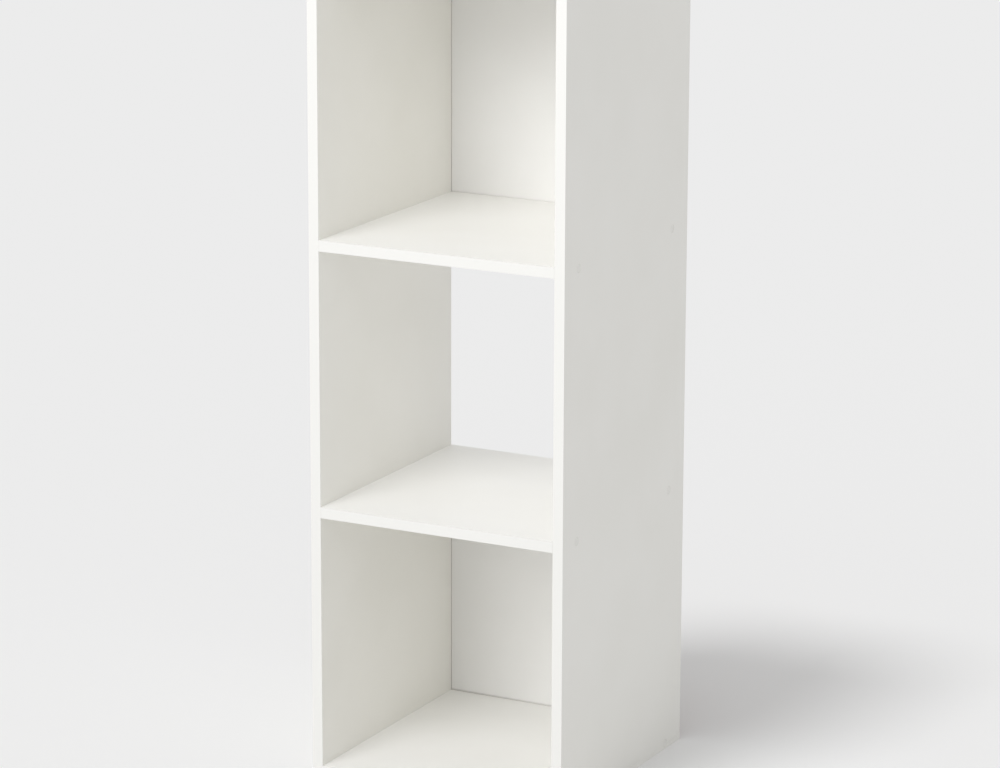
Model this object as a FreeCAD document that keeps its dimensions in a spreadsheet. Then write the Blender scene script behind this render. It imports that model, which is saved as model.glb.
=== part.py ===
import FreeCAD, Part
import os
import Sketcher

# Open tower organizer: three equal cubes on top of each other, sized for the common
# 267 mm storage bins.
#
# Two full-height side panels carry four identical cross boards: bottom, lower shelf,
# upper shelf and top. Each end of a cross board is held by two countersunk connector
# screws through the side panel. Edge band covers the boards' front edges and the side
# panels' top ends. The upper and the lower cube have a hardboard back on the boards'
# rear edges. The middle cube is open at the front and at the back.
#
# Millimetres. +X is to the right, +Y to the back, +Z up. The origin is on the floor,
# under the middle of the object.

# ------------------------------------------------------------------ driving sizes

DRIVING_SIZES = (
    ("cube_width", 276, "clear width of a cube, between the side panels"),
    ("cube_height", 278, "clear height of a cube, between two cross boards"),
    ("board_depth", 294, "front of the edge band to the rear edge of a board"),
    ("board_thickness", 12, "laminated particleboard"),
    ("band_thickness", 0.5, "edge band glued on a sawn edge"),
    ("band_round", 0.3, "rounded corner along an edge band"),
    ("edge_ease", 0.6, "eased corner along a board's rear edge"),
    ("back_thickness", 3, "hardboard"),
    ("back_inset", 2, "outer face of a board to the edge of the back panel on it"),
    ("screw_front_setback", 32, "front of a board to the axis of its front screw"),
    ("screw_rear_setback", 38, "rear edge of a board to the axis of its rear screw"),
    ("screw_diameter", 5, "shank, and outside of the thread"),
    ("screw_length", 40, "over all"),
    ("screw_clearance", 0.2, "round the shank in the side panel"),
    ("screw_head_diameter", 8, "countersunk head"),
    ("screw_head_angle", 90, "degrees, across the head's cone"),
    ("screw_head_recess", 0.7, "outer face of the side panel to the top of the head, for a cap"),
    ("socket_width", 3, "hexagon socket in the head, across its flats"),
    ("socket_depth", 2.5, "top of the head to the socket's floor"),
    ("spare_depth", 1.5, "free depth of a bore past the end of its screw"),
)
CROSS_BOARDS = ("bottom_panel", "lower_shelf", "upper_shelf", "top_panel")
BACK_PANELS = {"lower_back_panel": 0, "upper_back_panel": 2}
HANDS = {"left": -1, "right": 1}

doc = FreeCAD.newDocument("tower_organizer")
sheet = doc.addObject("Spreadsheet::Sheet", "Sizes")
for line, (alias, number, meaning) in enumerate(DRIVING_SIZES, start=1):
    sheet.set(f"A{line}", meaning)
    sheet.set(f"B{line}", str(number))
    sheet.setAlias(f"B{line}", alias)
doc.recompute()

# What follows from the driving sizes, as expressions that the document evaluates.

HALF_CUBE = "(Sizes.cube_width / 2)"
HALF_WIDTH = "(Sizes.cube_width / 2 + Sizes.board_thickness)"
MID_BOARD = "(Sizes.board_thickness / 2)"
PITCH = "(Sizes.cube_height + Sizes.board_thickness)"
HEIGHT = f"({len(CROSS_BOARDS) - 1} * {PITCH} + Sizes.board_thickness)"
FRONT = "(-(Sizes.board_depth + Sizes.back_thickness) / 2)"
REAR_EDGE = f"({FRONT} + Sizes.board_depth)"
SCREW_SPACING = "(Sizes.board_depth - Sizes.screw_front_setback - Sizes.screw_rear_setback)"
SCREW_REACH = "(Sizes.screw_head_recess + Sizes.screw_length - Sizes.board_thickness)"
HEAD_SLOPE = "tan(Sizes.screw_head_angle / 2)"
BACK_HEIGHT = f"({PITCH} + Sizes.board_thickness - 2 * Sizes.back_inset)"
BACK_HALF_WIDTH = f"({HALF_WIDTH} - Sizes.back_inset)"


# ------------------------------------------------------------ how a piece is drawn


def new_body(label, across="0", back=FRONT, up="0"):
    """An empty body of that name, with its frame at three expressions."""
    body = doc.addObject("PartDesign::Body", label)
    body.Label = label
    body.AllowCompound = True
    for axis, place in zip("xyz", (across, back, up)):
        body.setExpression(f"Placement.Base.{axis}", place)
    return body


def origin_plane(body, role):
    return next(f for f in body.Origin.OriginFeatures if f.Role == role)


def new_sketch(body, role, right="0", up="0", out="0"):
    """A sketch on an origin plane, moved to the right, up, and out along its normal."""
    sketch = body.newObject("Sketcher::SketchObject", f"{body.Label}_sketch")
    sketch.AttachmentSupport = [(origin_plane(body, role), "")]
    sketch.MapMode = "FlatFace"
    for axis, place in zip("xyz", (right, up, out)):
        sketch.setExpression(f"AttachmentOffset.Base.{axis}", place)
    return sketch


def outline(sketch, corners):
    """A closed outline of straight lines, each corner held at two expressions."""
    places = [[sketch.evalExpression(e) for e in corner] for corner in corners]
    points = [FreeCAD.Vector(x, y, 0) for x, y in places]
    sketch.addGeometry([Part.LineSegment(a, b) for a, b in zip(points, points[1:] + points[:1])])
    for i, corner in enumerate(corners):
        following = (i + 1) % len(corners)
        sketch.addConstraint(Sketcher.Constraint("Coincident", i, 2, following, 1))
        for kind, expression, place in zip(("DistanceX", "DistanceY"), corner, places[i]):
            held = sketch.addConstraint(Sketcher.Constraint(kind, -1, 1, i, 1, place))
            sketch.setExpression(f"Constraints[{held}]", expression)


def rectangle(sketch, right, up, from_right="0", from_up="0"):
    outline(sketch, [(from_right, from_up), (right, from_up), (right, up), (from_right, up)])


def circle(sketch, diameter):
    """A circle about the sketch's own origin."""
    radius = sketch.evalExpression(f"{diameter} / 2")
    sketch.addGeometry(Part.Circle(FreeCAD.Vector(), FreeCAD.Vector(0, 0, 1), radius))
    sketch.addConstraint(Sketcher.Constraint("Coincident", 0, 3, -1, 1))
    held = sketch.addConstraint(Sketcher.Constraint("Radius", 0, radius))
    sketch.setExpression(f"Constraints[{held}]", f"{diameter} / 2")


def feature(body, kind, profile=None, **settings):
    """A feature of that kind. A setting that names a size is bound to it."""
    doc.recompute()
    made = body.newObject(f"PartDesign::{kind}", f"{body.Label}_{kind.lower()}")
    if profile:
        made.Profile = profile
    for name, setting in settings.items():
        if isinstance(setting, str) and "Sizes." in setting:
            made.setExpression(name, setting)
        else:
            setattr(made, name, setting)
    doc.recompute()
    return made


def row(sketch, axis, spacing, count):
    """A step of a pattern: copies in a row along an axis of a sketch."""
    body = sketch.getParentGeoFeatureGroup()
    step = body.newObject("PartDesign::LinearPattern", f"{body.Label}_row")
    step.Direction = (sketch, [axis])
    step.Mode = "Spacing"
    step.setExpression("Offset", spacing)
    step.Occurrences = count
    return step


def mirror(body):
    """A step of a pattern: the mirror image across the middle of the body's frame."""
    step = body.newObject("PartDesign::Mirrored", f"{body.Label}_mirror")
    step.MirrorPlane = (origin_plane(body, "YZ_Plane"), [""])
    return step


def copy_by(body, steps, *originals):
    """Copies of features, by one step of a pattern after another."""
    copies = body.newObject("PartDesign::MultiTransform", f"{body.Label}_copies")
    copies.Originals = list(originals)
    copies.Transformations = steps
    body.Tip = copies
    doc.recompute()


SAME_PLACE = 1e-6


def edges_along(base, along, across, place):
    """Names of a feature's edges along one axis, at a place across it on another."""
    wanted = base.evalExpression(place)
    names = []
    for number, edge in enumerate(base.Shape.Edges, start=1):
        start, end = (v.Point for v in edge.Vertexes)
        is_along = abs(getattr(end - start, along)) > edge.Length - SAME_PLACE
        if is_along and abs(getattr(start, across) - wanted) < SAME_PLACE:
            names.append(f"Edge{number}")
    return names


# ------------------------------------------------------------------- cross boards


def cross_board(label, level):
    """Laminated particleboard between the side panels. Each end has two blind bores that
    the connector screws cut their thread in."""
    body = new_body(label, up=f"{level} * {PITCH}")
    plan = new_sketch(body, "XY_Plane")
    rectangle(plan, HALF_CUBE, "Sizes.board_depth", f"-{HALF_CUBE}", "Sizes.band_thickness")
    board = feature(body, "Pad", plan, Length="Sizes.board_thickness")
    rear_edges = edges_along(board, "x", "y", "Sizes.board_depth")
    feature(body, "Chamfer", Base=(board, rear_edges), Size="Sizes.edge_ease")

    screw_place = new_sketch(body, "YZ_Plane", "Sizes.screw_front_setback", MID_BOARD, HALF_CUBE)
    circle(screw_place, "Sizes.screw_diameter")
    screw_bore = feature(
        body,
        "Hole",
        screw_place,
        DepthType="Dimension",
        DrillPoint="Flat",
        Depth=f"{SCREW_REACH} + Sizes.spare_depth",
        Diameter="Sizes.screw_diameter",
    )
    front_to_rear = row(screw_place, "H_Axis", SCREW_SPACING, 2)
    copy_by(body, [front_to_rear, mirror(body)], screw_bore)


def cross_board_band(label, level):
    """Edge band on the front edge of a cross board."""
    body = new_body(f"{label}_front_band", up=f"{level} * {PITCH}")
    plan = new_sketch(body, "XY_Plane")
    rectangle(plan, HALF_CUBE, "Sizes.band_thickness", f"-{HALF_CUBE}")
    band = feature(body, "Pad", plan, Length="Sizes.board_thickness")
    front_edges = edges_along(band, "x", "y", "0")
    feature(body, "Fillet", Base=(band, front_edges), Radius="Sizes.band_round")


# -------------------------------------------------------------------- side panels


def side_panel(hand, sign):
    """Full-height laminated particleboard, with a countersunk bore from outside for each
    connector screw."""
    body = new_body(f"{hand}_side_panel", f"{sign} * {HALF_WIDTH}")
    is_right = sign > 0
    elevation = new_sketch(body, "YZ_Plane")
    core_top = f"{HEIGHT} - Sizes.band_thickness"
    rectangle(elevation, "Sizes.board_depth", core_top, "Sizes.band_thickness")
    board = feature(body, "Pad", elevation, Length="Sizes.board_thickness", Reversed=is_right)
    rear_edges = edges_along(board, "z", "y", "Sizes.board_depth")
    feature(body, "Chamfer", Base=(board, rear_edges), Size="Sizes.edge_ease")

    screw_place = new_sketch(body, "YZ_Plane", "Sizes.screw_front_setback", MID_BOARD)
    circle(screw_place, "Sizes.screw_diameter")
    screw_bore = feature(
        body,
        "Hole",
        screw_place,
        DepthType="ThroughAll",
        Reversed=not is_right,
        Diameter="Sizes.screw_diameter + 2 * Sizes.screw_clearance",
        HoleCutType="Countersink",
        HoleCutCustomValues=True,
        HoleCutDiameter=f"Sizes.screw_head_diameter + 2 * Sizes.screw_head_recess * {HEAD_SLOPE}",
        HoleCutCountersinkAngle="Sizes.screw_head_angle",
    )
    front_to_rear = row(screw_place, "H_Axis", SCREW_SPACING, 2)
    board_to_board = row(screw_place, "V_Axis", PITCH, len(CROSS_BOARDS))
    copy_by(body, [front_to_rear, board_to_board], screw_bore)


def side_panel_bands(hand, sign):
    """Edge bands on the front edge and on the top end of a side panel."""
    outer_face = f"{sign} * {HALF_WIDTH}"
    inward = f"{-sign} * Sizes.board_thickness"
    front = new_body(f"{hand}_side_front_band", outer_face)
    plan = new_sketch(front, "XY_Plane")
    rectangle(plan, inward, "Sizes.band_thickness")
    band = feature(front, "Pad", plan, Length=HEIGHT)
    front_edges = edges_along(band, "z", "y", "0")
    feature(front, "Fillet", Base=(band, front_edges), Radius="Sizes.band_round")

    top = new_body(f"{hand}_side_top_band", outer_face, up=f"{HEIGHT} - Sizes.band_thickness")
    plan = new_sketch(top, "XY_Plane")
    rectangle(plan, inward, "Sizes.board_depth", from_up="Sizes.band_thickness")
    band = feature(top, "Pad", plan, Length="Sizes.band_thickness")
    upper_edges = edges_along(band, "y", "z", "Sizes.band_thickness")
    feature(top, "Fillet", Base=(band, upper_edges), Radius="Sizes.band_round")


# --------------------------------------------------------------- connector screws


def connector_screws(label, level):
    """The four screws of a cross board: a countersunk head that sits in the side panel's
    cone, with a hexagon socket, and a shank and thread of one diameter."""
    body = new_body(f"{label}_screws", up=f"{level} * {PITCH}")
    head_radius = "Sizes.screw_head_diameter / 2"
    radius = "Sizes.screw_diameter / 2"
    head_height = f"({head_radius} - {radius}) / {HEAD_SLOPE}"
    head_top = "-Sizes.screw_head_recess"
    end = "-Sizes.screw_head_recess - Sizes.screw_length"
    half_section = new_sketch(body, "XY_Plane", HALF_WIDTH, "Sizes.screw_front_setback", MID_BOARD)
    profile = [
        (head_top, "0"),
        (head_top, head_radius),
        (f"{head_top} - {head_height}", radius),
        (end, radius),
        (end, "0"),
    ]
    outline(half_section, profile)
    turned = feature(body, "Revolution", half_section, ReferenceAxis=(half_section, ["H_Axis"]))

    top_of_head = f"{HALF_WIDTH} - Sizes.screw_head_recess"
    hexagon = new_sketch(body, "YZ_Plane", "Sizes.screw_front_setback", MID_BOARD, top_of_head)
    corner = "Sizes.socket_width / sqrt(3)"
    corners = [(f"{corner} * cos({turn})", f"{corner} * sin({turn})") for turn in range(0, 360, 60)]
    outline(hexagon, corners)
    socket = feature(body, "Pocket", hexagon, Length="Sizes.socket_depth")
    front_to_rear = row(hexagon, "H_Axis", SCREW_SPACING, 2)
    copy_by(body, [front_to_rear, mirror(body)], turned, socket)


# -------------------------------------------------------------------- back panels


def back_panel(label, level):
    """Hardboard on the rear edges of the boards round a cube, a little inside their
    outer faces all the way round."""
    body = new_body(label, back=REAR_EDGE, up=f"{level} * {PITCH} + Sizes.back_inset")
    elevation = new_sketch(body, "XZ_Plane")
    rectangle(elevation, BACK_HALF_WIDTH, BACK_HEIGHT, f"-{BACK_HALF_WIDTH}")
    feature(body, "Pad", elevation, Length="Sizes.back_thickness", Reversed=True)


# ------------------------------------------------------------------- the organizer

for level, label in enumerate(CROSS_BOARDS):
    cross_board(label, level)
    cross_board_band(label, level)
    connector_screws(label, level)
for hand, sign in HANDS.items():
    side_panel(hand, sign)
    side_panel_bands(hand, sign)
for label, level in BACK_PANELS.items():
    back_panel(label, level)
doc.recompute()

failed = [o.Name for o in doc.Objects if {"Invalid", "Error"} & set(o.State)]
if failed:
    raise RuntimeError(f"objects that failed: {failed}")
pieces = [o for o in doc.Objects if o.TypeId == "PartDesign::Body"]
for piece in pieces:
    if piece.Shape.isNull() or not piece.Shape.isValid() or not piece.Shape.Solids:
        raise RuntimeError(f"{piece.Label} has no valid solid")

os.makedirs("parts", exist_ok=True)
for piece in pieces:
    piece.Shape.exportStep(f"parts/{piece.Label}.step")
    box = piece.Shape.BoundBox
    print(piece.Label, len(piece.Shape.Solids), "solid(s)", end=", ")
    print(f"{box.XLength:.2f} x {box.YLength:.2f} x {box.ZLength:.2f} mm")
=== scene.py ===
import math

import bpy
from mathutils import Matrix, Vector


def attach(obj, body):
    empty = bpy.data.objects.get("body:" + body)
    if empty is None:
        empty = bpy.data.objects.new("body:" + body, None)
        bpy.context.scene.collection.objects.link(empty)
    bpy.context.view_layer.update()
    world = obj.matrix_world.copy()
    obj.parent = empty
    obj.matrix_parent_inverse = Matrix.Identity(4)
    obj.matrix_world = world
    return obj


# An open tower organizer: two side panels, four cross boards between them, and thin
# backs behind the upper and the lower cube. It is white, flat-packed and screwed
# together. Metres, with +X to the right, +Y to the back and +Z up from the floor.

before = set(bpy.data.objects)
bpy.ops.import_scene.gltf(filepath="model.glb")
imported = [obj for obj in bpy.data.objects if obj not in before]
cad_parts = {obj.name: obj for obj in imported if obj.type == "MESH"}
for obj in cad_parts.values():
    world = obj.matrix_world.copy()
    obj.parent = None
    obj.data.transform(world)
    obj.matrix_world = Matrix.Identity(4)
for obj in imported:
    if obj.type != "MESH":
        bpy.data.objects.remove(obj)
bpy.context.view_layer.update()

# ------------------------------------------------------------------ laminated boards
# The side panels and cross boards are 12 mm particleboard with white melamine paper
# pressed on both faces. Their rear edges and feet are left as sawn, so the core's
# chips show there between the two thin lines of paper.

CROSS_BOARDS = ("bottom_panel", "lower_shelf", "upper_shelf", "top_panel")
BOARD_THICKNESS = 0.012
BOARD_PITCH = 0.290
OUTER_FACE = 0.150
CORE_STARTS, CORE_IN_FULL = 0.00024, 0.00032
RAGGED_BY = 0.00016
FINE_CHIPS_END, COARSE_CHIPS_ALONE = 0.0018, 0.0034
SCUFF_HEIGHT = 0.014

# The cross boards get a lighter copy of the side panels' paper: painted light that brightens their tops.
SIDE_PAPER = ((0.878, 0.869, 0.832, 1), (0.858, 0.849, 0.808, 1))
SHELF_PAPER_PAINTED_LIGHTER = ((0.926, 0.922, 0.906, 1), (0.910, 0.905, 0.885, 1))
PAPER_SPECK = (0.55, 0.53, 0.49, 1)
SPECKS_PER_METRE = 95.0
SPECK_SIZE = 0.022
SPECKS_LEFT_OUT = 0.66
SPECK_STRENGTH = 0.5
FOOT_SCUFF = (0.60, 0.58, 0.54, 1)
SCUFF_STRENGTH = 0.22
PAPER_ROUGHNESS = 0.37
CHIP_TONES = (
    (0.00, (0.20, 0.120, 0.062, 1)),
    (0.25, (0.36, 0.235, 0.130, 1)),
    (0.60, (0.50, 0.350, 0.205, 1)),
    (1.00, (0.64, 0.480, 0.310, 1)),
)
CHIP_GAP = (0.13, 0.080, 0.045, 1)
GAP_STRENGTH = 0.8
CORE_ROUGHNESS = 0.82
COARSE_CHIPS = (230, 990)  # to the metre along the board, and through its thickness
FINE_CHIPS = (520, 2420)
CHIP_FIBRES = (900, 3500)


class Value:
    """One socket's value. Sums in Python add the Math nodes that work them out."""

    def __init__(self, nodes, socket):
        self.nodes, self.socket = nodes, socket

    def __add__(self, other):
        return self.nodes.work_out("ADD", self, other)

    def __radd__(self, other):
        return self.nodes.work_out("ADD", other, self)

    def __sub__(self, other):
        return self.nodes.work_out("SUBTRACT", self, other)

    def __rsub__(self, other):
        return self.nodes.work_out("SUBTRACT", other, self)

    def __mul__(self, other):
        return self.nodes.work_out("MULTIPLY", self, other)

    def __rmul__(self, other):
        return self.nodes.work_out("MULTIPLY", other, self)

    def __truediv__(self, other):
        return self.nodes.work_out("DIVIDE", self, other)

    def __rtruediv__(self, other):
        return self.nodes.work_out("DIVIDE", other, self)

    def __mod__(self, other):
        return self.nodes.work_out("FLOORED_MODULO", self, other)

    def __pow__(self, other):
        return self.nodes.work_out("POWER", self, other)

    def __gt__(self, other):
        return self.nodes.work_out("GREATER_THAN", self, other)

    def __lt__(self, other):
        return self.nodes.work_out("LESS_THAN", self, other)

    def __abs__(self):
        return self.nodes.work_out("ABSOLUTE", self)


class Nodes:
    """A node tree that is filled from Python."""

    def __init__(self, tree):
        self.tree = tree
        tree.nodes.clear()

    def add(self, kind, settings=None, sockets=None, out=None):
        """A node of that kind: its settings, then its sockets' values or links.

        A list fills a socket that takes several links. out names the output that is wanted,
        or several in a tuple. Left out, it is the first.
        """
        node = self.tree.nodes.new(kind)
        for name, setting in (settings or {}).items():
            if name == "stops":
                self.set_stops(node.color_ramp.elements, setting)
            elif name == "items":
                while len(node.index_switch_items) < setting:
                    node.index_switch_items.new()
            else:
                setattr(node, name, setting)
        inputs = {socket.identifier: socket for socket in node.inputs}
        for name, given in (sockets or {}).items():
            for one in given if isinstance(given, list) else [given]:
                if isinstance(one, Value):
                    self.tree.links.new(one.socket, inputs[name])
                else:
                    inputs[name].default_value = one
        outputs = {socket.identifier: Value(self, socket) for socket in node.outputs}
        if isinstance(out, tuple):
            return [outputs[name] for name in out]
        return outputs[out] if out else next(iter(outputs.values()), None)

    def set_stops(self, elements, stops):
        while len(elements) < len(stops):
            elements.new(1)
        for element, (position, colour) in zip(elements, stops):
            element.position = position
            element.color = colour

    def work_out(self, operation, *numbers):
        """One Math node, with numbers or values in its sockets."""
        names = ("Value", "Value_001")
        return self.add("ShaderNodeMath", {"operation": operation}, dict(zip(names, numbers)))

    def place(self, scale=(1, 1, 1), turn=(0, 0, 0)):
        """Where on the object a point lies, in metres times scale."""
        at = self.add("ShaderNodeTexCoord", out="Object")
        if scale == (1, 1, 1) and turn == (0, 0, 0):
            return at
        return self.add("ShaderNodeMapping", {}, {"Vector": at, "Rotation": turn, "Scale": scale})

    def split(self, vector):
        return self.add("ShaderNodeSeparateXYZ", {}, {"Vector": vector}, out=("X", "Y", "Z"))

    def join(self, x=0.0, y=0.0, z=0.0):
        return self.add("ShaderNodeCombineXYZ", {}, {"X": x, "Y": y, "Z": z})

    def noise(self, vector, scale=1.0, detail=2.0, roughness=0.5, distortion=0.0):
        """Soft noise from 0 to 1, with scale blobs to the metre."""
        sockets = {"Vector": vector, "Scale": scale, "Detail": detail,
                   "Roughness": roughness, "Distortion": distortion}
        return self.add("ShaderNodeTexNoise", {}, sockets)

    def cells(self, vector, scale=1.0):
        """Packed cells: how far a point is from its cell's middle, and the cell's random colour."""
        sockets = {"Vector": vector, "Scale": scale}
        return self.add("ShaderNodeTexVoronoi", {}, sockets, out=("Distance", "Color"))

    def rise(self, value, start, end, low=0.0, high=1.0):
        """Low up to start, high from end on, and a smooth rise between them."""
        sockets = {"Value": value, "From Min": start, "From Max": end, "To Min": low, "To Max": high}
        return self.add("ShaderNodeMapRange", {"interpolation_type": "SMOOTHSTEP"}, sockets)

    def mix(self, share, first, second):
        """The first colour, with that share of the second."""
        sockets = {"Factor_Float": share, "A_Color": first, "B_Color": second}
        return self.add("ShaderNodeMix", {"data_type": "RGBA"}, sockets, out="Result_Color")

    def ramp(self, value, stops):
        return self.add("ShaderNodeValToRGB", {"stops": stops}, {"Fac": value})


def new_finish(name):
    """A new material and its emptied nodes."""
    material = bpy.data.materials.new(name)
    material.use_nodes = True
    return material, Nodes(material.node_tree)


def close_finish(nodes, surface, **constants):
    """Ends a material. A surface is its colour, its roughness and its relief in millimetres."""
    colour, roughness, relief = surface
    bump = nodes.add("ShaderNodeBump", {}, {"Strength": 1.0, "Distance": 0.001, "Height": relief})
    sockets = {"Base Color": colour, "Roughness": roughness, "Normal": bump}
    sockets.update({name.replace("_", " "): number for name, number in constants.items()})
    shader = nodes.add("ShaderNodeBsdfPrincipled", {}, sockets)
    nodes.add("ShaderNodeOutputMaterial", {}, {"Surface": shader})


def laid_over(nodes, share, under, over):
    """The first surface, with that share of the second."""
    colour = nodes.mix(share, under[0], over[0])
    return [colour] + [below * (1 - share) + above * share for below, above in zip(under[1:], over[1:])]


def stretched(axis, off_it, on_it):
    """Blobs to the metre in x, y and z: one number on the axis that is 1, another off it."""
    return tuple(on_it if part else off_it for part in axis)


def clouded(nodes, place, scale, whites):
    """Two near whites in soft clouds, and the clouds themselves."""
    cloud = nodes.noise(place, scale, detail=3.0, roughness=0.55)
    return nodes.mix(nodes.rise(cloud, 0.30, 0.72), *whites), cloud


def melamine(nodes, place, height, whites):
    """White paper with a few specks, a faint print of the chips and a scuffed foot."""
    colour, cloud = clouded(nodes, place, 7.0, whites)
    from_speck, _ = nodes.cells(place, SPECKS_PER_METRE)
    rare = nodes.noise(place, 41.0, detail=1.0) > SPECKS_LEFT_OUT
    colour = nodes.mix((from_speck < SPECK_SIZE) * rare * SPECK_STRENGTH, colour, PAPER_SPECK)
    rubbed = nodes.noise(nodes.place((30, 30, 240)), detail=4.0, roughness=0.6)
    scuffed = nodes.rise(height, 0.0, SCUFF_HEIGHT, 1.0, 0.0) * nodes.rise(rubbed, 0.44, 0.66)
    colour = nodes.mix(scuffed * SCUFF_STRENGTH, colour, FOOT_SCUFF)
    peel = nodes.noise(place, 620.0, detail=1.5)
    print_of_chips = nodes.noise(place, 75.0)
    wiped = nodes.noise(nodes.place((4, 4, 11), (0.3, 0.2, 0.5)), detail=3.0, roughness=0.6)
    roughness = PAPER_ROUGHNESS + cloud * 0.07 + wiped * 0.07 + peel * 0.04
    return colour, roughness, peel * 0.012 + print_of_chips * 0.010


def chip_core(nodes, depth, lay):
    """Chips pressed flat: fine ones near the faces and coarse ones in the middle."""
    coarse_rim, coarse = nodes.cells(nodes.place(stretched(lay, *COARSE_CHIPS), (0.05, 0.04, 0.03)))
    fine_rim, fine = nodes.cells(nodes.place(stretched(lay, *FINE_CHIPS), (-0.03, 0.05, 0.06)))
    grain = nodes.noise(nodes.place(stretched(lay, *CHIP_FIBRES)), detail=3.0, roughness=0.6)
    inner = nodes.rise(depth, FINE_CHIPS_END, COARSE_CHIPS_ALONE)
    tone = nodes.split(fine)[0] * (1 - inner) + nodes.split(coarse)[0] * inner
    rim = fine_rim * (1 - inner) + coarse_rim * inner
    colour = nodes.ramp(tone * 0.72 + grain * 0.30, CHIP_TONES)
    colour = nodes.mix(nodes.rise(rim, 0.55, 0.95) * GAP_STRENGTH, colour, CHIP_GAP)
    return colour, CORE_ROUGHNESS, (1 - rim) * 0.16 + grain * 0.05


def board_finish(name, whites, depth_in_board, lay):
    """Paper on a board's faces and chips in its core.

    depth_in_board takes x, y, z and gives the depth under the nearer face. lay is 1 along
    the board's thin axis and 0 along the others.
    """
    material, nodes = new_finish(name)
    place = nodes.place()
    x, y, z = nodes.split(place)
    depth = depth_in_board(x, y, z)
    ragged = nodes.noise(place, 1400.0, roughness=0.6) * RAGGED_BY
    is_core = nodes.rise(depth + ragged, CORE_STARTS, CORE_IN_FULL)
    faces = melamine(nodes, place, z, whites)
    close_finish(nodes, laid_over(nodes, is_core, faces, chip_core(nodes, depth, lay)),
                 Specular_IOR_Level=0.42)
    return material


def side_panel_depth(x, y, z):
    return BOARD_THICKNESS / 2 - abs(abs(x) - (OUTER_FACE - BOARD_THICKNESS / 2))


def cross_board_depth(x, y, z):
    above_underside = (z + BOARD_THICKNESS) % BOARD_PITCH - BOARD_THICKNESS
    return BOARD_THICKNESS / 2 - abs(above_underside - BOARD_THICKNESS / 2)


def dress(material, *names):
    """Gives CAD nodes their material."""
    for name in names:
        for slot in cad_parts[name].material_slots:
            slot.material = material


dress(board_finish("laminated_side_panel", SIDE_PAPER, side_panel_depth, (1, 0, 0)),
      "left_side_panel", "right_side_panel")
# The cross boards' lighter paper is painted light.
dress(board_finish("laminated_cross_board", SHELF_PAPER_PAINTED_LIGHTER, cross_board_depth, (0, 0, 1)), *CROSS_BOARDS)

# ------------------------------------------------------------------------ edge bands
# White plastic tape, half a millimetre thick, is glued on the sawn front edges and on
# the top ends of the side panels, then trimmed flush. It leaves fine drawn lines along
# the tape and a thin line of hot-melt glue where it meets the board.

BAND_JOINT_Y = -0.148
BAND_JOINT_Z = 0.8815
GLUE_THINS, GLUE_ENDS = 0.00006, 0.00012

# The front tape is a darker copy of the top tape: painted shade that holds the lamp-lit front edges down.
FRONT_TAPE_PAINTED_DARKER = ((0.730, 0.727, 0.706, 1), (0.706, 0.702, 0.679, 1))
TOP_TAPE = ((0.845, 0.841, 0.818, 1), (0.825, 0.820, 0.795, 1))
GLUE = (0.60, 0.54, 0.42, 1)
GLUE_STRENGTH = 0.22
BAND_RUB = (0.62, 0.61, 0.58, 1)
RUB_STRENGTH = 0.18
BAND_ROUGHNESS = 0.30
DRAWN_LINES = (1500, 12)  # to the metre across the tape, and along it
RUBBED_LINES = (420, 60)


def band_finish(name, whites, along, to_glue):
    """Tape drawn along one axis. to_glue takes x, y, z and gives the distance to the glue."""
    material, nodes = new_finish(name)
    place = nodes.place()
    drawn = nodes.noise(nodes.place(stretched(along, *DRAWN_LINES)), detail=3.0, roughness=0.55)
    cloud = nodes.noise(place, 16.0)
    tape = nodes.mix(drawn * 0.35 + cloud * 0.45, *whites)
    rubbed = nodes.noise(nodes.place(stretched(along, *RUBBED_LINES)), detail=4.0, roughness=0.65)
    tape = nodes.mix(nodes.rise(rubbed, 0.66, 0.80) * RUB_STRENGTH, tape, BAND_RUB)
    glue = nodes.rise(to_glue(*nodes.split(place)), GLUE_THINS, GLUE_ENDS, 1.0, 0.0)
    colour = nodes.mix(glue * GLUE_STRENGTH, tape, GLUE)
    roughness = BAND_ROUGHNESS + drawn * 0.12 + cloud * 0.06 + glue * 0.2
    relief = drawn * 0.006 + nodes.noise(place, 700.0, detail=1.0) * 0.006 - glue * 0.03
    close_finish(nodes, (colour, roughness, relief), Specular_IOR_Level=0.46)
    return material


def to_front_glue(x, y, z):
    return BAND_JOINT_Y - y


def to_top_glue(x, y, z):
    return z - BAND_JOINT_Z


# The front edges get the darker tape, which is painted shade.
dress(band_finish("upright_edge_band", FRONT_TAPE_PAINTED_DARKER, (0, 0, 1), to_front_glue),
      "left_side_front_band", "right_side_front_band")
dress(band_finish("level_edge_band", FRONT_TAPE_PAINTED_DARKER, (1, 0, 0), to_front_glue),
      *[board + "_front_band" for board in CROSS_BOARDS])
dress(band_finish("top_edge_band", TOP_TAPE, (0, 1, 0), to_top_glue),
      "left_side_top_band", "right_side_top_band")

# -------------------------------------------------------------------- hardboard backs
# The two backs are 3 mm hardboard, white paint on the smooth face that looks into the
# cube. The rear face is bare brown fibre with the mark of the wire screen that the
# board was pressed on, and the sawn edges are bare too.

BACK_FACE_Y = 0.1455
PAINT_DEPTH = 0.00012
SCREEN_PITCH = 0.0015
CUBE_HALF_WIDTH = OUTER_FACE - BOARD_THICKNESS
# Widths and strengths of the painted shade in the gaps round each back.
UPRIGHT_GAP_DARK, UPRIGHT_GAP = 0.00032, 0.0008
UPRIGHT_GAP_SHADE = 0.33
LEVEL_GAP = 0.0030
LEVEL_GAP_SHADE = 0.26
DARKER_TO_THE_LEFT = 0.7
UPPER_BACK_PALER = 0.20

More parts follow.
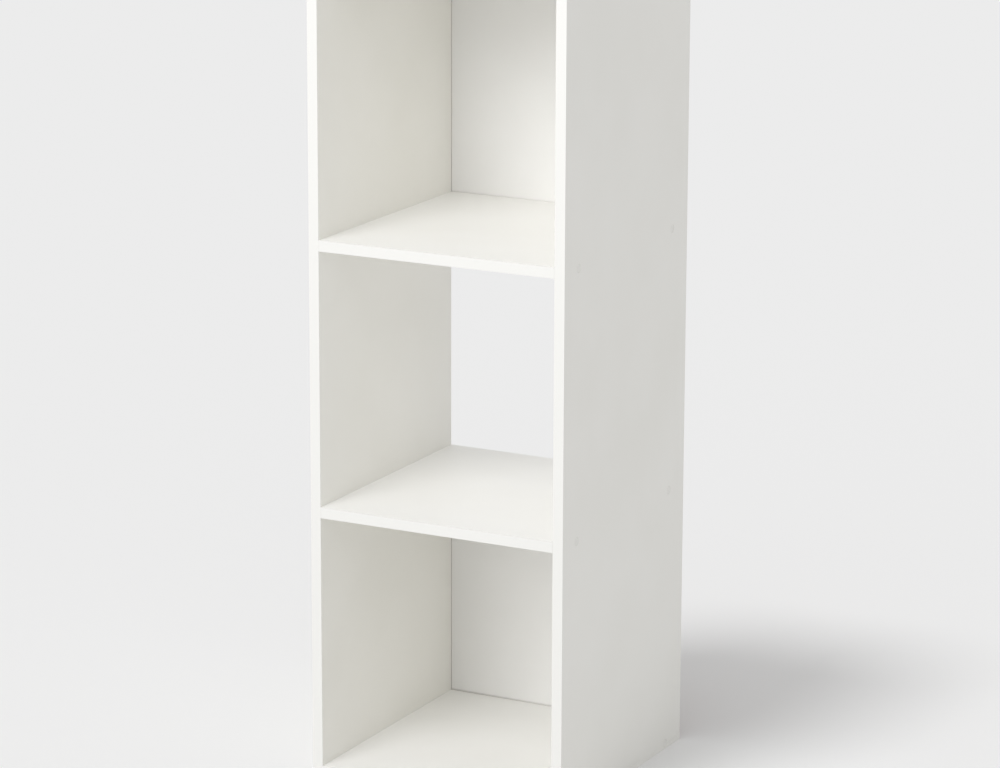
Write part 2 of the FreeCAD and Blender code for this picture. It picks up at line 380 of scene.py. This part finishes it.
BACK_PAINT = ((0.839, 0.836, 0.826, 1), (0.819, 0.815, 0.804, 1))
PAINTED_GAP_SHADE = (0.17, 0.145, 0.11, 1)
PAINT_ROUGHNESS = 0.44
FIBRE_TONES = (
    (0.0, (0.105, 0.056, 0.030, 1)),
    (0.5, (0.190, 0.108, 0.060, 1)),
    (1.0, (0.285, 0.175, 0.100, 1)),
)
FIBRE_ROUGHNESS = 0.62


def painted_face(nodes, place, x, z):
    """Rolled white paint, with painted shade in the thin gaps where the back meets the boards."""
    paint, cloud = clouded(nodes, place, 9.0, BACK_PAINT)
    # Painted shade: a thin strip beside each side panel and a wider one above each board, darker towards the
    # left and paler on the upper back.
    from_side = CUBE_HALF_WIDTH - abs(x)
    upright = nodes.rise(from_side, UPRIGHT_GAP_DARK, UPRIGHT_GAP, UPRIGHT_GAP_SHADE, 0.0)
    above_board = (z + BOARD_THICKNESS) % BOARD_PITCH - 2 * BOARD_THICKNESS
    is_upper = z > 2 * BOARD_PITCH
    level_shade = LEVEL_GAP_SHADE - x * DARKER_TO_THE_LEFT - is_upper * UPPER_BACK_PALER
    level = nodes.rise(above_board, 0.0, LEVEL_GAP, 1.0, 0.0) * level_shade
    colour = nodes.mix(nodes.work_out("MAXIMUM", upright, level), paint, PAINTED_GAP_SHADE)
    roller = nodes.noise(nodes.place((420, 420, 300)), roughness=0.55)
    fibre_print = nodes.noise(place, 120.0, detail=3.0, roughness=0.6)
    roughness = PAINT_ROUGHNESS + cloud * 0.08 + roller * 0.05
    return colour, roughness, roller * 0.010 + fibre_print * 0.012


def bare_rear(nodes, place, x, z):
    """Brown fibre, embossed by the wire screen."""
    turn = 2 * math.pi / SCREEN_PITCH
    warp = nodes.noise(place, 60.0, detail=1.0) * 0.8
    wires_up = nodes.work_out("SINE", x * turn + warp)
    wires_across = nodes.work_out("SINE", z * turn + warp)
    screen = wires_up * wires_across * 0.5 + 0.5
    fibres = nodes.noise(nodes.place((900, 260, 320), (0.0, 0.7, 0.0)), detail=4.0, roughness=0.65,
                         distortion=0.6)
    stain = nodes.noise(place, 13.0, detail=3.0, roughness=0.6)
    colour = nodes.ramp(fibres * 0.62 + stain * 0.36 + screen * 0.10 - 0.06, FIBRE_TONES)
    return colour, FIBRE_ROUGHNESS + fibres * 0.2, screen * 0.06 + fibres * 0.05


def hardboard_finish():
    material, nodes = new_finish("painted_hardboard")
    place = nodes.place()
    x, y, z = nodes.split(place)
    is_bare = nodes.rise(y, BACK_FACE_Y + PAINT_DEPTH, BACK_FACE_Y + 2 * PAINT_DEPTH)
    faces = laid_over(nodes, is_bare, painted_face(nodes, place, x, z), bare_rear(nodes, place, x, z))
    close_finish(nodes, faces, Specular_IOR_Level=0.40)
    return material


dress(hardboard_finish(), "lower_back_panel", "upper_back_panel")

# ------------------------------------------------------------------- connector screws
# Zinc-plated countersunk connector screws, 5 by 40 mm with a hexagon socket, hold each
# cross board between the side panels, two at each end. Only the bore's mouth in the
# side panel is open to the eye, and a cap closes that.

THREAD_PITCH = 0.0024
THREAD_START = 0.1365
RIDGE_HEIGHT_MM = 0.3
RIDGE_ROUNDNESS = 0.6

ZINC_TONES = (
    (0.0, (0.44, 0.45, 0.47, 1)),
    (0.6, (0.62, 0.63, 0.65, 1)),
    (1.0, (0.74, 0.74, 0.72, 1)),
)
ZINC_ROUGHNESS = 0.26


def zinc_finish(name, threaded):
    """Plated steel, and on a screw the ridges of its thread."""
    material, nodes = new_finish(name)
    place = nodes.place()
    _, spangle = nodes.cells(place, 1100.0)
    bloom = nodes.noise(place, 420.0, detail=3.0, roughness=0.6)
    scratch = nodes.noise(nodes.place((5200, 900, 700), (0.4, 0.2, 0.7)), roughness=0.6)
    relief = bloom * 0.004 + scratch * 0.004
    if threaded:
        from_middle = abs(nodes.split(place)[0])
        along = from_middle / THREAD_PITCH % 1.0
        ridge = (1 - abs(along - 0.5) * 2) ** RIDGE_ROUNDNESS
        relief = relief + ridge * RIDGE_HEIGHT_MM * (from_middle < THREAD_START)
    colour = nodes.ramp(nodes.split(spangle)[0] * 0.35 + bloom * 0.65, ZINC_TONES)
    roughness = ZINC_ROUGHNESS + bloom * 0.16 + scratch * 0.12
    close_finish(nodes, (colour, roughness, relief), Metallic=1.0)
    return material


dress(zinc_finish("zinc_screw", True), *[board + "_screws" for board in CROSS_BOARDS])

# ------------------------------------------------------------------------ screw caps
# A thin white plastic cap is pressed into the mouth of every screw bore, eight on each
# side panel. It is dished, sits just below the panel's face and hides the screw's head.

CAP_SIZES = {
    "Cap Diameter": 0.00924,
    "Cap Thickness": 0.00062,
    "Dish Depth": 0.00048,
    "Rim Width": 0.00025,
    "Below Face": 0.00004,
    "Screw Spacing": 0.224,
    "Screws Middle Y": -0.0045,
    "Board Pitch": BOARD_PITCH,
    "Half Width": OUTER_FACE,
}
CAP_FACETS = 48
CAP_EDGE_BREAK = 0.00004
DISH_WALL_SHARE = 0.25
DISH_WALL_STEPS = 4
CAP_WHITE = (0.845, 0.836, 0.800, 1)
CAP_SHADED = (0.825, 0.815, 0.777, 1)
# Painted shade that darkens a thin ring just inside the cap's rim, where it meets the bore.
CAP_RIM_SHADE = (0.44, 0.41, 0.35, 1)
RIM_SHADE_STARTS, RIM_SHADE_IN_FULL = 0.0005, 0.0001
RIM_SHADE_STRENGTH = 0.25
CAP_ROUGHNESS = 0.36


def new_tree(name, sizes):
    """A Geometry Nodes tree with its named sizes, and those sizes as values."""
    tree = bpy.data.node_groups.new(name, "GeometryNodeTree")
    nodes = Nodes(tree)
    for size in sizes:
        tree.interface.new_socket(name=size, in_out="INPUT", socket_type="NodeSocketFloat")
    tree.interface.new_socket(name="Geometry", in_out="OUTPUT", socket_type="NodeSocketGeometry")
    inputs = [socket for socket in tree.interface.items_tree if socket.in_out == "INPUT"]
    return nodes, {socket.name: nodes.add("NodeGroupInput", out=socket.identifier) for socket in inputs}


def turned(nodes, outline, facets):
    """A closed solid turned about the Z axis: outline holds radius and height, from below."""
    rings = len(outline)
    sheet = nodes.add("GeometryNodeMeshGrid", {}, {"Size X": rings - 1.0, "Size Y": 1.0,
                                                   "Vertices X": rings, "Vertices Y": facets + 1})
    across, around, _ = nodes.split(nodes.add("GeometryNodeInputPosition"))
    # The switch drops what follows the point, so each ring's number is taken a little past it.
    a_little_past = 0.25
    ring = across + ((rings - 1) / 2 + a_little_past)
    angle = (around + 0.5) * (2 * math.pi)
    radius, height = [
        nodes.add("GeometryNodeIndexSwitch", {"data_type": "FLOAT", "items": rings},
                  {"Index": ring, **{f"Item_{i}": number for i, number in enumerate(column)}})
        for column in zip(*outline)]
    cosine, sine = nodes.work_out("COSINE", angle), nodes.work_out("SINE", angle)
    point = nodes.join(radius * cosine, radius * sine, height)
    bent = nodes.add("GeometryNodeSetPosition", {}, {"Geometry": sheet, "Position": point})
    return nodes.add("GeometryNodeMergeByDistance", {}, {"Geometry": bent, "Distance": 0.000002})


def made_by(nodes, name, sizes, solid, material):
    """Ends a tree, runs it once, and gives the result as an object with a plain mesh."""
    real = nodes.add("GeometryNodeRealizeInstances", {}, {"Geometry": solid})
    painted = nodes.add("GeometryNodeSetMaterial", {}, {"Geometry": real, "Material": material})
    nodes.add("NodeGroupOutput", {}, {nodes.tree.interface.items_tree["Geometry"].identifier: painted})
    piece = bpy.data.objects.new(name, bpy.data.meshes.new(name))
    bpy.context.scene.collection.objects.link(piece)
    modifier = piece.modifiers.new("made_by_nodes", "NODES")
    modifier.node_group = nodes.tree
    for socket in nodes.tree.interface.items_tree:
        if socket.name in sizes:
            modifier[socket.identifier] = sizes[socket.name]
    evaluated = piece.evaluated_get(bpy.context.evaluated_depsgraph_get())
    mesh = bpy.data.meshes.new_from_object(evaluated)
    piece.modifiers.remove(modifier)
    piece.data = mesh
    mesh.name = name
    return piece


def cap_finish():
    """Moulded plastic: a fine eroded surface with flow marks, and painted shade in the thin gap at the rim.
    """
    material, nodes = new_finish("moulded_screw_cap")
    place = nodes.place()
    _, y, z = nodes.split(place)
    pitch = CAP_SIZES["Board Pitch"]
    from_y = abs(y - CAP_SIZES["Screws Middle Y"]) - CAP_SIZES["Screw Spacing"] / 2
    from_z = (z + (pitch - BOARD_THICKNESS) / 2) % pitch - pitch / 2
    radius = (from_y ** 2 + from_z ** 2) ** 0.5
    rim = CAP_SIZES["Cap Diameter"] / 2
    # Painted shade in a thin ring just inside the rim.
    rim_shade = nodes.rise(radius, rim - RIM_SHADE_STARTS, rim - RIM_SHADE_IN_FULL) * RIM_SHADE_STRENGTH
    flow = nodes.noise(place, 340.0)
    sparked = nodes.noise(place, 4200.0, roughness=0.6)
    plastic = nodes.mix(nodes.rise(flow, 0.3, 0.7), CAP_WHITE, CAP_SHADED)
    surface = (nodes.mix(rim_shade, plastic, CAP_RIM_SHADE),
               CAP_ROUGHNESS + flow * 0.08 + sparked * 0.08,
               sparked * 0.004 + flow * 0.006)
    close_finish(nodes, surface, Specular_IOR_Level=0.45)
    return material


nodes, size = new_tree("screw_caps_in_their_bores", CAP_SIZES)
rim, thick, dish = size["Cap Diameter"] / 2, size["Cap Thickness"], size["Dish Depth"]
hollow = rim - size["Rim Width"]
cap_outline = [(0.0, 0.0), (rim - thick, 0.0), (rim, thick - CAP_EDGE_BREAK),
               (rim - CAP_EDGE_BREAK, thick), (hollow, thick)]
for step in range(1, DISH_WALL_STEPS + 1):
    gone = step / DISH_WALL_STEPS
    fallen = gone * gone * (3 - 2 * gone)
    cap_outline.append((hollow * (1 - DISH_WALL_SHARE * gone), thick - dish * fallen))
cap_outline.append((0.0, thick - dish))
cap = turned(nodes, cap_outline, CAP_FACETS)
pitches = len(CROSS_BOARDS) - 1
bores = nodes.add("GeometryNodeMeshGrid", {}, {
    "Size X": size["Screw Spacing"], "Size Y": size["Board Pitch"] * pitches,
    "Vertices X": 2, "Vertices Y": len(CROSS_BOARDS)})
caps = nodes.add("GeometryNodeInstanceOnPoints", {}, {"Points": bores, "Instance": cap})
seat = size["Half Width"] - size["Below Face"] - thick
middle_z = size["Board Pitch"] * (pitches / 2) + BOARD_THICKNESS / 2
both_sides = []
for turn, across in ((math.pi / 2, seat), (-math.pi / 2, 0 - seat)):
    both_sides.append(nodes.add("GeometryNodeTransform", {}, {
        "Geometry": caps, "Translation": nodes.join(across, size["Screws Middle Y"], middle_z),
        "Rotation": (math.pi / 2, 0, turn)}))
pressed_in = nodes.add("GeometryNodeJoinGeometry", {}, {"Geometry": both_sides})
screw_caps = made_by(nodes, "screw_caps", CAP_SIZES, pressed_in, cap_finish())
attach(screw_caps, "root")

# ------------------------------------------------------------------------ panel pins
# Twelve zinc-plated panel pins nail each back on to the rear edges of the boards
# around its cube. They are driven by hand, so they stand a little out of line, with
# their flat heads down in the face of the hardboard.

PIN_SIZES = {
    "Head Diameter": 0.0036,
    "Head Thickness": 0.0005,
    "Shank Diameter": 0.0014,
    "Pin Length": 0.020,
    "Point Length": 0.0022,
    "Head Proud": 0.00005,
    "Rear Face": 0.1485,
    "Pins Across": 0.288,
    "Board Pitch": BOARD_PITCH,
    "Out Of Line": 0.0012,
}
HEAD_CROWN = ((1.00, 0.00010), (0.97, 0.00004), (0.80, 0.00001))  # share of its radius, depth below its top
UNDER_HEAD_SHARE = 0.9
PIN_FACETS = 20
PINS_ALONG_A_SIDE = 4
OUTER_ROW = 0.45
BACKS = 2
PIN_SEED = 7

nodes, size = new_tree("panel_pins_round_the_backs", PIN_SIZES)
head, shank, length = size["Head Diameter"] / 2, size["Shank Diameter"] / 2, size["Pin Length"]
under_head = length - size["Head Thickness"]
pin_outline = [(0.0, 0.0), (shank, size["Point Length"]), (shank, under_head),
               (head * UNDER_HEAD_SHARE, under_head)]
pin_outline += [(head * share, length - below_top) for share, below_top in HEAD_CROWN]
pin_outline.append((0.0, length))
pin = turned(nodes, pin_outline, PIN_FACETS)
round_a_cube = nodes.add("GeometryNodeMeshGrid", {}, {
    "Size X": size["Pins Across"], "Size Y": size["Board Pitch"],
    "Vertices X": PINS_ALONG_A_SIDE, "Vertices Y": PINS_ALONG_A_SIDE})
back_pitch = size["Board Pitch"] * 2
cubes_with_backs = nodes.add("GeometryNodeMeshLine", {}, {
    "Count": BACKS, "Offset": nodes.join(y=back_pitch)})
marked_out = nodes.add("GeometryNodeRealizeInstances", {}, {
    "Geometry": nodes.add("GeometryNodeInstanceOnPoints", {}, {
        "Points": cubes_with_backs, "Instance": round_a_cube})})
across, up, _ = nodes.split(nodes.add("GeometryNodeInputPosition"))
half_pitch = size["Board Pitch"] / 2
on_side = abs(across) > size["Pins Across"] * OUTER_ROW
in_cube = abs((up + half_pitch) % back_pitch - half_pitch)
on_board = in_cube > size["Board Pitch"] * OUTER_ROW
strayed = nodes.add("FunctionNodeRandomValue", {"data_type": "FLOAT_VECTOR"}, {
    "Min": (-1, -1, 0), "Max": (1, 1, 0), "Seed": PIN_SEED})
strayed = nodes.add("ShaderNodeVectorMath", {"operation": "SCALE"}, {
    "Vector": strayed, "Scale": size["Out Of Line"]})
nailed = nodes.add("GeometryNodeSetPosition", {}, {"Geometry": marked_out, "Offset": strayed})
pins = nodes.add("GeometryNodeInstanceOnPoints", {}, {
    "Points": nailed, "Selection": on_side + on_board, "Instance": pin})
driven_to = nodes.join(y=size["Rear Face"] + size["Head Proud"] - length, z=half_pitch + BOARD_THICKNESS / 2)
driven_in = nodes.add("GeometryNodeTransform", {}, {
    "Geometry": pins, "Translation": driven_to, "Rotation": (math.pi / 2, 0, math.pi)})
panel_pins = made_by(nodes, "panel_pins", PIN_SIZES, driven_in, zinc_finish("zinc_pin", False))
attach(panel_pins, "root")

# -------------------------------------------------------------------- floor and light
# A pale even floor runs on into a backdrop of the same grey under a soft sky. A large
# round lamp and a wide one light the tower from the front and leave the floor out.
# A high one lights the floor alone and draws the tower's short soft shadow on it.

FLOOR_REACH = 60.0
BACKGROUND = 0.838
SKY = 0.60
LIT_MIDDLE = Vector((0, 0, 0.45))
KEY_PLACE = Vector((0, -1.5, 1.8))
KEY_SIZE = 1.2
KEY_STRENGTH = 0.313
LEFT_LAMP = {"azimuth": -18, "elevation": 20, "spread": 34, "strength": 0.385}
FLOOR_LAMP = {"azimuth": -20.6, "elevation": 64.6, "spread": 14.2, "strength": 0.323}
SUN_DISTANCE = 3
WHITE = (1, 1, 1, 1)
LIGHT_BOUNCES_IN_A_WHITE_CUBE = 8


def floor_finish(level):
    """Matt grey paint."""
    material, nodes = new_finish("studio_floor")
    shader = nodes.add("ShaderNodeBsdfDiffuse", {}, {"Color": (level, level, level, 1)})
    nodes.add("ShaderNodeOutputMaterial", {}, {"Surface": shader})
    return material


def towards_lamp(azimuth, elevation):
    """Angles in degrees: azimuth 0 is straight in front of the tower and 90 is on its right."""
    turn, rise = math.radians(azimuth), math.radians(elevation)
    return Vector((math.sin(turn) * math.cos(rise), -math.cos(turn) * math.cos(rise), math.sin(rise)))


def lit_group(name, state):
    """A set for a lamp that lights the floor alone, or all but the floor."""
    group = bpy.data.collections.new(name)
    group.objects.link(floor)
    group.collection_objects[0].light_linking.link_state = state
    return group


def hang(name, light, place, towards, group):
    """Hangs a lamp so that it shines from there on to its group, without a glare on it."""
    lamp = bpy.data.objects.new(name, light)
    lamp.matrix_world = Matrix.Translation(place) @ towards.to_track_quat("Z", "Y").to_matrix().to_4x4()
    bpy.context.scene.collection.objects.link(lamp)
    lamp.light_linking.receiver_collection = group
    lamp.visible_glossy = False


def hang_sun(name, group, azimuth, elevation, spread, strength):
    """A far lamp. At strength 1 it lights a white surface that faces it to full white."""
    sun = bpy.data.lights.new(name, "SUN")
    sun.angle = math.radians(spread)
    sun.energy = strength * math.pi
    towards = towards_lamp(azimuth, elevation)
    hang(name, sun, LIT_MIDDLE + towards * SUN_DISTANCE, towards, group)


floor_lamp_height = towards_lamp(FLOOR_LAMP["azimuth"], FLOOR_LAMP["elevation"]).z
received = SKY + FLOOR_LAMP["strength"] * floor_lamp_height
corners = [(x * FLOOR_REACH, y * FLOOR_REACH, 0) for x, y in ((-1, -1), (1, -1), (1, 1), (-1, 1))]
floor_mesh = bpy.data.meshes.new("studio_floor")
floor_mesh.from_pydata(corners, [], [(0, 1, 2, 3)])
floor_mesh.materials.append(floor_finish(BACKGROUND / received))
floor = bpy.data.objects.new("studio_floor", floor_mesh)
bpy.context.scene.collection.objects.link(floor)

all_but_the_floor = lit_group("all_but_the_floor", "EXCLUDE")
the_floor_alone = lit_group("the_floor_alone", "INCLUDE")
key_ray = KEY_PLACE - LIT_MIDDLE
key = bpy.data.lights.new("key_lamp", "AREA")
key.shape = "DISK"
key.size = KEY_SIZE
key.energy = KEY_STRENGTH * math.pi ** 2 * key_ray.length_squared  # as strong as a sun of that strength
hang("key_lamp", key, KEY_PLACE, key_ray, all_but_the_floor)
hang_sun("left_lamp", all_but_the_floor, **LEFT_LAMP)
hang_sun("floor_lamp", the_floor_alone, **FLOOR_LAMP)
bpy.context.scene.cycles.diffuse_bounces = LIGHT_BOUNCES_IN_A_WHITE_CUBE

world = bpy.data.worlds.new("soft_sky")
world.use_nodes = True
bpy.context.scene.world = world
nodes = Nodes(world.node_tree)
sky = nodes.add("ShaderNodeBackground", {}, {"Color": WHITE, "Strength": SKY})
backdrop = nodes.add("ShaderNodeBackground", {}, {"Color": WHITE, "Strength": BACKGROUND})
seen, mirrored, seen_through = nodes.add(
    "ShaderNodeLightPath", out=("Is Camera Ray", "Is Glossy Ray", "Is Transmission Ray"))
shown = nodes.add("ShaderNodeMixShader", {}, {
    "Fac": seen + mirrored + seen_through, "Shader": sky, "Shader_001": backdrop})
nodes.add("ShaderNodeOutputWorld", {}, {"Surface": shown})

# ---------------------------------------------------------------------------- camera
# It stands four metres off to the front right at a standing child's eye height, looks
# down a little, and frames the tower from the upper cube to the floor.

CAMERA_PLACE = (1.9248, -3.7009, 1.4732)
DEGREES_LEFT, DEGREES_DOWN, DEGREES_LEANING = 27.49, 14.16, 0.19
LENS_MM = 144.54
SENSOR_MM = 36
FARTHEST_SEEN = 200

camera = bpy.data.cameras.new("camera")
camera.sensor_width = SENSOR_MM
camera.lens = LENS_MM
camera.clip_end = FARTHEST_SEEN
tripod = bpy.data.objects.new("camera", camera)
tripod.matrix_world = (
    Matrix.Translation(CAMERA_PLACE)
    @ Matrix.Rotation(math.radians(DEGREES_LEFT), 4, "Z")
    @ Matrix.Rotation(math.radians(90 - DEGREES_DOWN), 4, "X")
    @ Matrix.Rotation(math.radians(DEGREES_LEANING), 4, "Z")
)
bpy.context.scene.collection.objects.link(tripod)
bpy.context.scene.camera = tripod
bpy.context.scene.view_settings.view_transform = "Standard"
